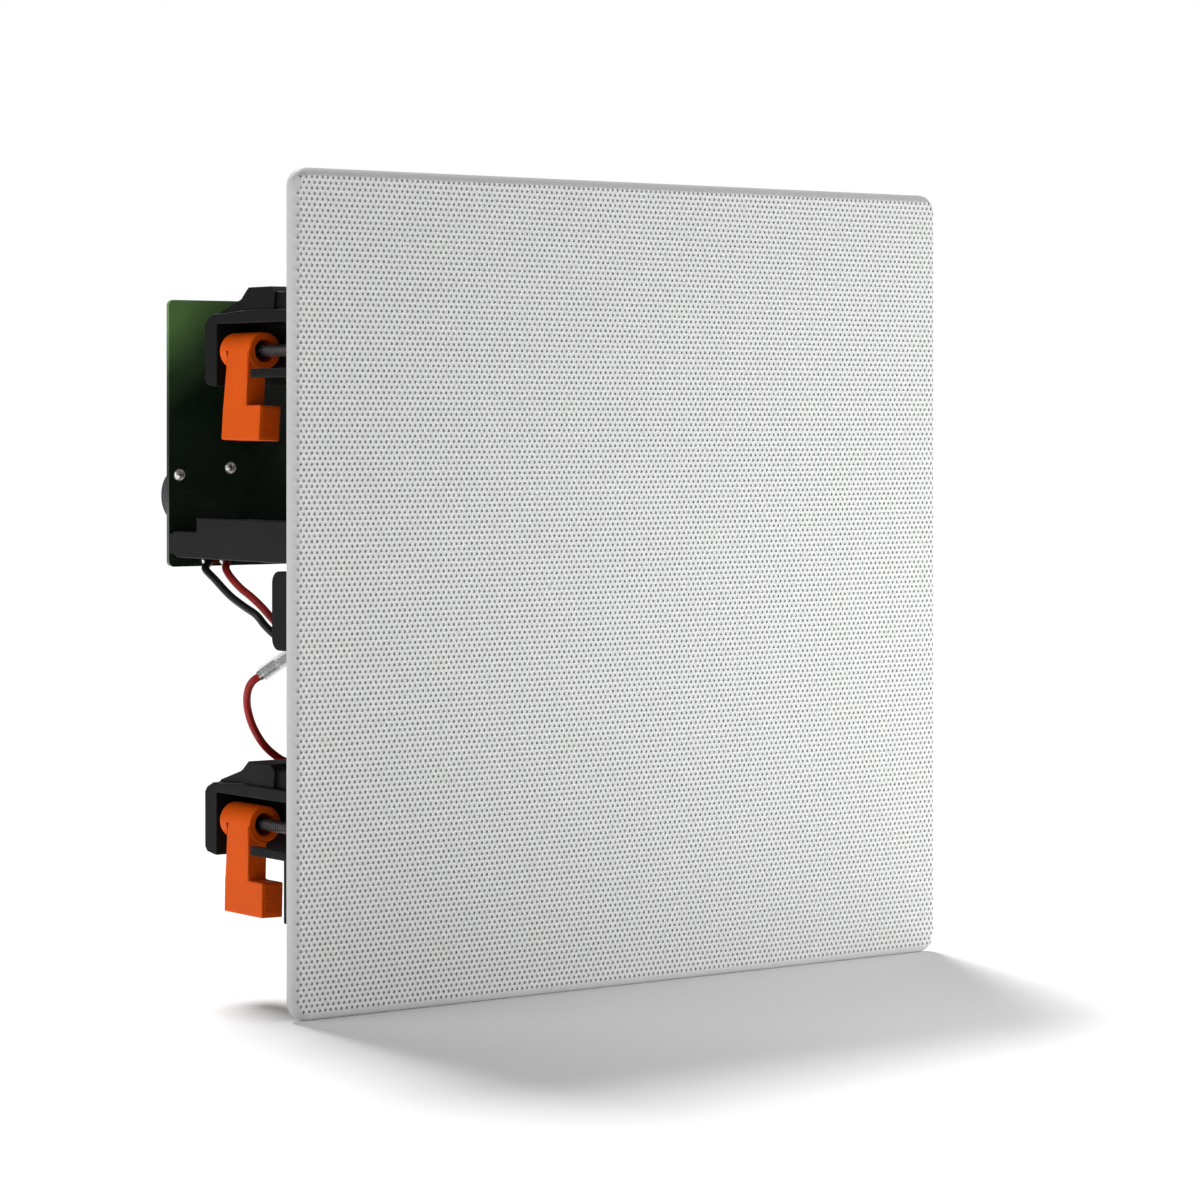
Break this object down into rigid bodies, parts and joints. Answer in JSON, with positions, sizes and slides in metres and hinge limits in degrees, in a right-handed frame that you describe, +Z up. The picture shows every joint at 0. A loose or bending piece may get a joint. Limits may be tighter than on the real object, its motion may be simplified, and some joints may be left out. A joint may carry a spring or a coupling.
{
  "type": "ceiling speaker",
  "caption": "Square flush ceiling speaker with a perforated white magnetic grille, swing-out clamps, coaxial drivers and a crossover board on an arm behind.",
  "frame": {"origin": "centre of the panel cut-out, in the plane of the flange's back", "axes": "+Y goes into the ceiling or wall, away from the listener; +Z is up and +X to the right as seen from the listener"},
  "size_m": [0.268, 0.1201, 0.268],
  "materials": {
    "grille_white": "matte powder coat",
    "scrim_cloth": "fine weave",
    "magnet_steel": "plated",
    "black_plastic": "fine grain",
    "basket_black": "satin",
    "surround_rubber": "satin",
    "cone_grey": "satin",
    "copper_coil": "enamelled",
    "spider_cloth": "resin-treated weave",
    "zinc_steel": "zinc",
    "ferrite": "matte",
    "black_screw": "black oxide",
    "tweeter_silk": "coated",
    "terminal_fibre": "fibre board",
    "board_green": "solder mask",
    "bright_steel": "polished",
    "capacitor_sleeve": "shrink sleeve",
    "film_red": "epoxy",
    "cement_white": "cement",
    "terminal_green": "satin",
    "lead_black": "satin",
    "lead_red": "satin",
    "clear_sleeve": "clear",
    "clamp_orange": "fine grain",
    "nut_brass": "turned"
  },
  "bodies": {
    "frame_body": {"frame_magnets": "magnet_steel", "frame": "black_plastic", "frame_ribs": "black_plastic", "clamp_towers": "black_plastic", "woofer_basket": "basket_black", "surround": "surround_rubber", "spider": "spider_cloth", "top_plate": "zinc_steel", "magnet": "ferrite", "yoke": "zinc_steel", "woofer_screws": "black_screw", "tweeter_post": "basket_black", "tweeter_housing": "black_plastic", "tweeter_dome": "tweeter_silk", "woofer_terminals": "terminal_fibre", "crossover_bracket": "black_plastic", "crossover_board": "board_green", "board_screws": "bright_steel", "electrolytic": "capacitor_sleeve", "film_capacitor": "film_red", "inductor_bobbin": "black_plastic", "inductor_winding": "copper_coil", "resistor": "cement_white", "terminal_block": "terminal_green", "terminal_screws": "bright_steel", "lead_black": "lead_black", "lead_red": "lead_red", "lead_tweeter": "lead_red", "spade_connector": "bright_steel", "connector_sleeve": "clear_sleeve"},
    "grille_body": {"grille": "grille_white", "grille_cloth": "scrim_cloth"},
    "cone_body": {"cone": "cone_grey", "voice_coil": "copper_coil"},
    "screw_body_upper_left": {"screw_upper_left": "black_screw"},
    "nut_body_upper_left": {"nut_upper_left": "nut_brass"},
    "clamp_body_upper_left": {"clamp_upper_left": "clamp_orange"},
    "screw_body_lower_left": {"screw_lower_left": "black_screw"},
    "nut_body_lower_left": {"nut_lower_left": "nut_brass"},
    "clamp_body_lower_left": {"clamp_lower_left": "clamp_orange"},
    "screw_body_upper_right": {"screw_upper_right": "black_screw"},
    "nut_body_upper_right": {"nut_upper_right": "nut_brass"},
    "clamp_body_upper_right": {"clamp_upper_right": "clamp_orange"},
    "screw_body_lower_right": {"screw_lower_right": "black_screw"},
    "nut_body_lower_right": {"nut_lower_right": "nut_brass"},
    "clamp_body_lower_right": {"clamp_lower_right": "clamp_orange"}
  },
  "joints": [
    {"name": "grille_pull", "type": "slide", "parent": "frame_body", "child": "grille_body", "axis": [0, -1, 0], "range_m": [0, 0.08]},
    {"name": "woofer_stroke", "type": "slide", "parent": "frame_body", "child": "cone_body", "axis": [0, -1, 0], "range_m": [-0.004, 0.004], "stiffness_N_per_m": 1500, "deforming": ["surround", "spider"]},
    {"name": "turn_upper_left", "type": "hinge", "parent": "frame_body", "child": "screw_body_upper_left", "pos_m": [-0.115, 0.003, 0.0772], "axis": [0, 1, 0], "range_deg": [0, 11521]},
    {"name": "travel_upper_left", "type": "slide", "parent": "frame_body", "child": "nut_body_upper_left", "axis": [0, -1, 0], "range_m": [0, 0.0224]},
    {"name": "swing_upper_left", "type": "hinge", "parent": "nut_body_upper_left", "child": "clamp_body_upper_left", "pos_m": [-0.115, 0.052, 0.0772], "axis": [0, 1, 0], "range_deg": [0, 86]},
    {"name": "turn_lower_left", "type": "hinge", "parent": "frame_body", "child": "screw_body_lower_left", "pos_m": [-0.115, 0.003, -0.0772], "axis": [0, 1, 0], "range_deg": [0, 11521]},
    {"name": "travel_lower_left", "type": "slide", "parent": "frame_body", "child": "nut_body_lower_left", "axis": [0, -1, 0], "range_m": [0, 0.0224]},
    {"name": "swing_lower_left", "type": "hinge", "parent": "nut_body_lower_left", "child": "clamp_body_lower_left", "pos_m": [-0.115, 0.052, -0.0772], "axis": [0, 1, 0], "range_deg": [0, 86]},
    {"name": "turn_upper_right", "type": "hinge", "parent": "frame_body", "child": "screw_body_upper_right", "pos_m": [0.115, 0.003, 0.0772], "axis": [0, 1, 0], "range_deg": [0, 11521]},
    {"name": "travel_upper_right", "type": "slide", "parent": "frame_body", "child": "nut_body_upper_right", "axis": [0, -1, 0], "range_m": [0, 0.0224]},
    {"name": "swing_upper_right", "type": "hinge", "parent": "nut_body_upper_right", "child": "clamp_body_upper_right", "pos_m": [0.115, 0.052, 0.0772], "axis": [0, 1, 0], "range_deg": [0, 86]},
    {"name": "turn_lower_right", "type": "hinge", "parent": "frame_body", "child": "screw_body_lower_right", "pos_m": [0.115, 0.003, -0.0772], "axis": [0, 1, 0], "range_deg": [0, 11521]},
    {"name": "travel_lower_right", "type": "slide", "parent": "frame_body", "child": "nut_body_lower_right", "axis": [0, -1, 0], "range_m": [0, 0.0224]},
    {"name": "swing_lower_right", "type": "hinge", "parent": "nut_body_lower_right", "child": "clamp_body_lower_right", "pos_m": [0.115, 0.052, -0.0772], "axis": [0, 1, 0], "range_deg": [0, 86]}
  ],
  "couplings": [
    {"joint": "turn_upper_left", "follows": "travel_upper_left", "rad_per_m": 8976},
    {"joint": "turn_lower_left", "follows": "travel_lower_left", "rad_per_m": 8976},
    {"joint": "turn_upper_right", "follows": "travel_upper_right", "rad_per_m": 8976},
    {"joint": "turn_lower_right", "follows": "travel_lower_right", "rad_per_m": 8976}
  ]
}
